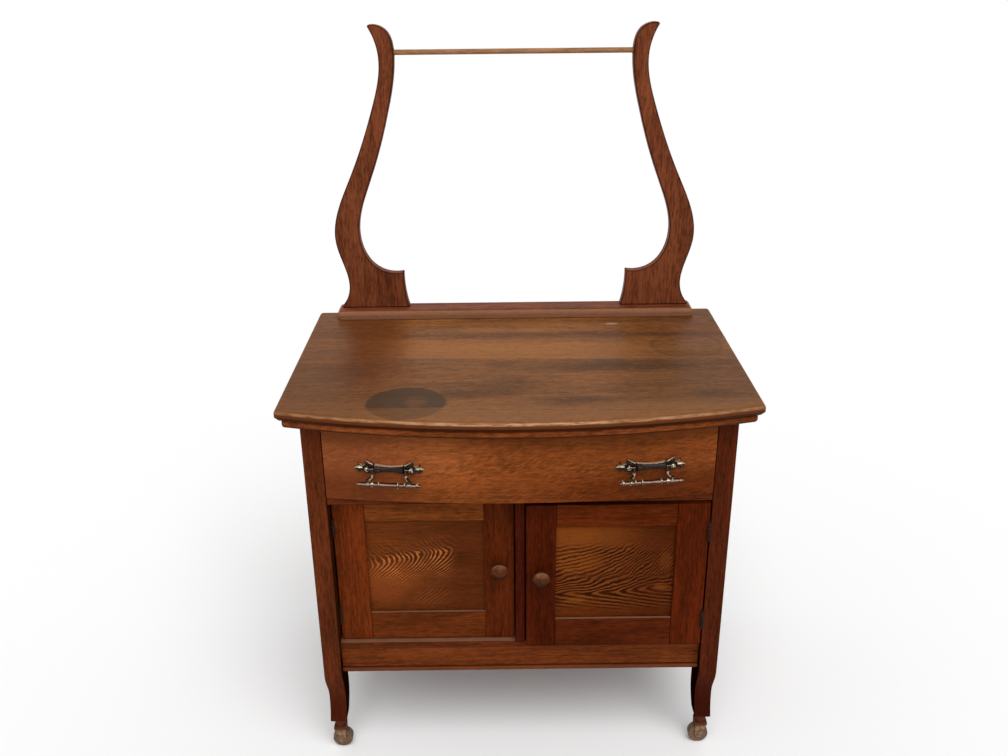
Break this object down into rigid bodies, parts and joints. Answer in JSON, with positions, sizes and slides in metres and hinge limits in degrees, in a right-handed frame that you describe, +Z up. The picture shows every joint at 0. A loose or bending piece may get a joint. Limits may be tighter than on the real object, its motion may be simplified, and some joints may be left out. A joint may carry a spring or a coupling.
{
  "type": "washstand",
  "caption": "Wooden bedroom washstand with a bow-front top, lyre uprights with a towel rod, a bowed drawer with bail pulls, panelled doors on butt hinges, and swivel casters.",
  "frame": {"origin": "on the floor, under the middle of the bounding box", "axes": "+Z up, +X to the right of someone facing the doors, -Y towards that person"},
  "size_m": [0.813, 0.545, 1.3201],
  "materials": {
    "case_oak": "dark oil varnish, worn",
    "panel_oak": "varnished figured oak",
    "board_oak": "varnished, edges rubbed light",
    "inside_wood": "bare planed wood",
    "top_oak": "varnished, stained and ringed",
    "harp_oak": "varnished",
    "drawer_oak": "varnished quartersawn oak",
    "door_frame_oak": "varnished",
    "door_panel_oak": "varnished flame-grained oak",
    "knob_wood": "turned and varnished",
    "pull_metal": "dark antique plating, bright on the edges",
    "hinge_metal": "dark brown",
    "caster_metal": "worn, light rust",
    "caster_wood": "worn turned wood"
  },
  "bodies": {
    "case": {"post_front_left": "case_oak", "post_front_right": "case_oak", "post_back_left": "case_oak", "post_back_right": "case_oak", "side_top_rails": "case_oak", "side_bottom_rails": "case_oak", "front_top_rail": "case_oak", "drawer_rail": "case_oak", "centre_stile": "case_oak", "moulding_front": "case_oak", "moulding_returns": "case_oak", "side_panel_left": "panel_oak", "side_panel_right": "panel_oak", "apron_rail": "board_oak", "bottom_board": "board_oak", "back_panel": "inside_wood", "back_rails": "inside_wood", "door_stops": "inside_wood", "drawer_runners": "inside_wood", "top_board": "top_oak", "harp_base_rail": "harp_oak", "harp_left": "harp_oak", "harp_right": "harp_oak", "towel_rod": "harp_oak", "hinge_post_leaves": "hinge_metal", "hinge_pins": "hinge_metal", "caster_sockets": "caster_metal"},
    "drawer": {"drawer_front": "drawer_oak", "drawer_side_left": "inside_wood", "drawer_side_right": "inside_wood", "drawer_back": "inside_wood", "drawer_bottom": "inside_wood", "pull_plates": "pull_metal", "pull_bolts": "pull_metal", "pull_nuts": "pull_metal"},
    "bail_left": {"bail_left": "pull_metal"},
    "bail_right": {"bail_right": "pull_metal"},
    "door_left": {"door_left_hinge_stile": "door_frame_oak", "door_left_lock_stile": "door_frame_oak", "door_left_top_rail": "door_frame_oak", "door_left_bottom_rail": "door_frame_oak", "door_left_panel": "door_panel_oak", "door_left_knob": "knob_wood", "door_left_hinge_leaves": "hinge_metal"},
    "door_right": {"door_right_hinge_stile": "door_frame_oak", "door_right_lock_stile": "door_frame_oak", "door_right_top_rail": "door_frame_oak", "door_right_bottom_rail": "door_frame_oak", "door_right_panel": "door_panel_oak", "door_right_knob": "knob_wood", "door_right_hinge_leaves": "hinge_metal"},
    "caster_front_left_swivel": {"caster_front_left_horn": "caster_metal"},
    "caster_front_left_roller": {"caster_front_left_wheel": "caster_wood"},
    "caster_front_right_swivel": {"caster_front_right_horn": "caster_metal"},
    "caster_front_right_roller": {"caster_front_right_wheel": "caster_wood"},
    "caster_back_left_swivel": {"caster_back_left_horn": "caster_metal"},
    "caster_back_left_roller": {"caster_back_left_wheel": "caster_wood"},
    "caster_back_right_swivel": {"caster_back_right_horn": "caster_metal"},
    "caster_back_right_roller": {"caster_back_right_wheel": "caster_wood"}
  },
  "joints": [
    {"name": "drawer_slide", "type": "slide", "parent": "case", "child": "drawer", "axis": [0, -1, 0], "range_m": [0, 0.3]},
    {"name": "bail_left_swing", "type": "hinge", "parent": "drawer", "child": "bail_left", "pos_m": [-0.22256, -0.20669, 0.635], "axis": [-0.9949, 0.1013, 0], "range_deg": [0, 95]},
    {"name": "door_left_hinge", "type": "hinge", "parent": "case", "child": "door_left", "pos_m": [-0.3345, -0.165, 0.4], "axis": [0, 0, -1], "range_deg": [0, 100]},
    {"name": "bail_right_swing", "type": "hinge", "parent": "drawer", "child": "bail_right", "pos_m": [0.22256, -0.20669, 0.635], "axis": [-0.9949, -0.1013, 0], "range_deg": [0, 95]},
    {"name": "door_right_hinge", "type": "hinge", "parent": "case", "child": "door_right", "pos_m": [0.3345, -0.191, 0.4], "axis": [0, 0, 1], "range_deg": [0, 100]},
    {"name": "caster_front_left_turn", "type": "hinge", "parent": "case", "child": "caster_front_left_swivel", "pos_m": [-0.3535, -0.1645, 0.06], "axis": [0, 0, 1], "continuous": true},
    {"name": "caster_front_left_roll", "type": "hinge", "parent": "caster_front_left_swivel", "child": "caster_front_left_roller", "pos_m": [-0.35, -0.1645, 0.019], "axis": [0, 1, 0], "continuous": true},
    {"name": "caster_front_right_turn", "type": "hinge", "parent": "case", "child": "caster_front_right_swivel", "pos_m": [0.3535, -0.1645, 0.06], "axis": [0, 0, 1], "continuous": true},
    {"name": "caster_front_right_roll", "type": "hinge", "parent": "caster_front_right_swivel", "child": "caster_front_right_roller", "pos_m": [0.35, -0.1645, 0.019], "axis": [0, 1, 0], "continuous": true},
    {"name": "caster_back_left_turn", "type": "hinge", "parent": "case", "child": "caster_back_left_swivel", "pos_m": [-0.355, 0.2425, 0.06], "axis": [0, 0, 1], "continuous": true},
    {"name": "caster_back_left_roll", "type": "hinge", "parent": "caster_back_left_swivel", "child": "caster_back_left_roller", "pos_m": [-0.3515, 0.2425, 0.019], "axis": [0, 1, 0], "continuous": true},
    {"name": "caster_back_right_turn", "type": "hinge", "parent": "case", "child": "caster_back_right_swivel", "pos_m": [0.355, 0.2425, 0.06], "axis": [0, 0, 1], "continuous": true},
    {"name": "caster_back_right_roll", "type": "hinge", "parent": "caster_back_right_swivel", "child": "caster_back_right_roller", "pos_m": [0.3515, 0.2425, 0.019], "axis": [0, 1, 0], "continuous": true}
  ]
}
